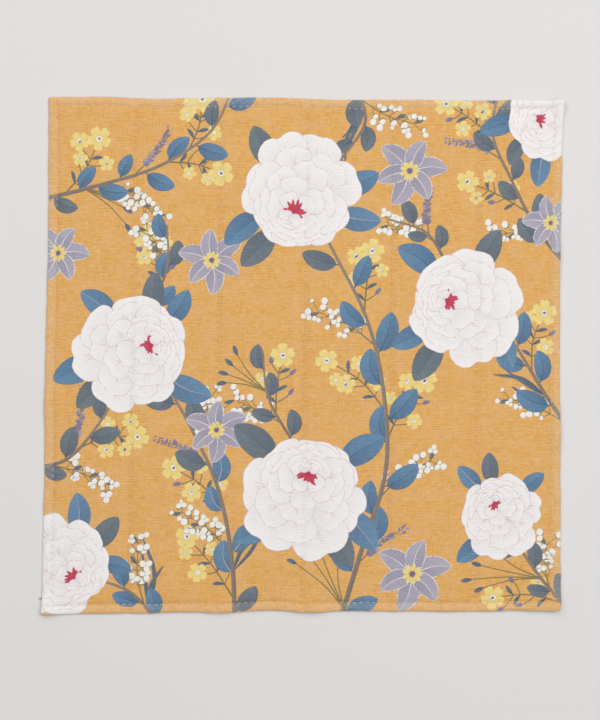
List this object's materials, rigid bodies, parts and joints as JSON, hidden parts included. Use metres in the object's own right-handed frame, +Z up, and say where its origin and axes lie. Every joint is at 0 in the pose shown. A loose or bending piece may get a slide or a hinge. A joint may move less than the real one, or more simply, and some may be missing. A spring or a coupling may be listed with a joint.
{
  "type": "flat tea towel",
  "caption": "Square tea towel of layered open-weave gauze, lying open and flat, with a narrow stitched hem and straight quilting stitches from top to bottom.",
  "frame": {"origin": "middle of the cloth's box, on the surface that it lies on", "axes": "+X across the cloth to the right as seen from above, +Y along the stitched channels away from the lower edge, +Z up from the surface"},
  "size_m": [0.3048, 0.301, 0.005],
  "materials": {
    "gauze": null,
    "thread": "matte sewing thread, in pale tones of the ground"
  },
  "bodies": {
    "root": {"cloth": "gauze"}
  },
  "joints": []
}
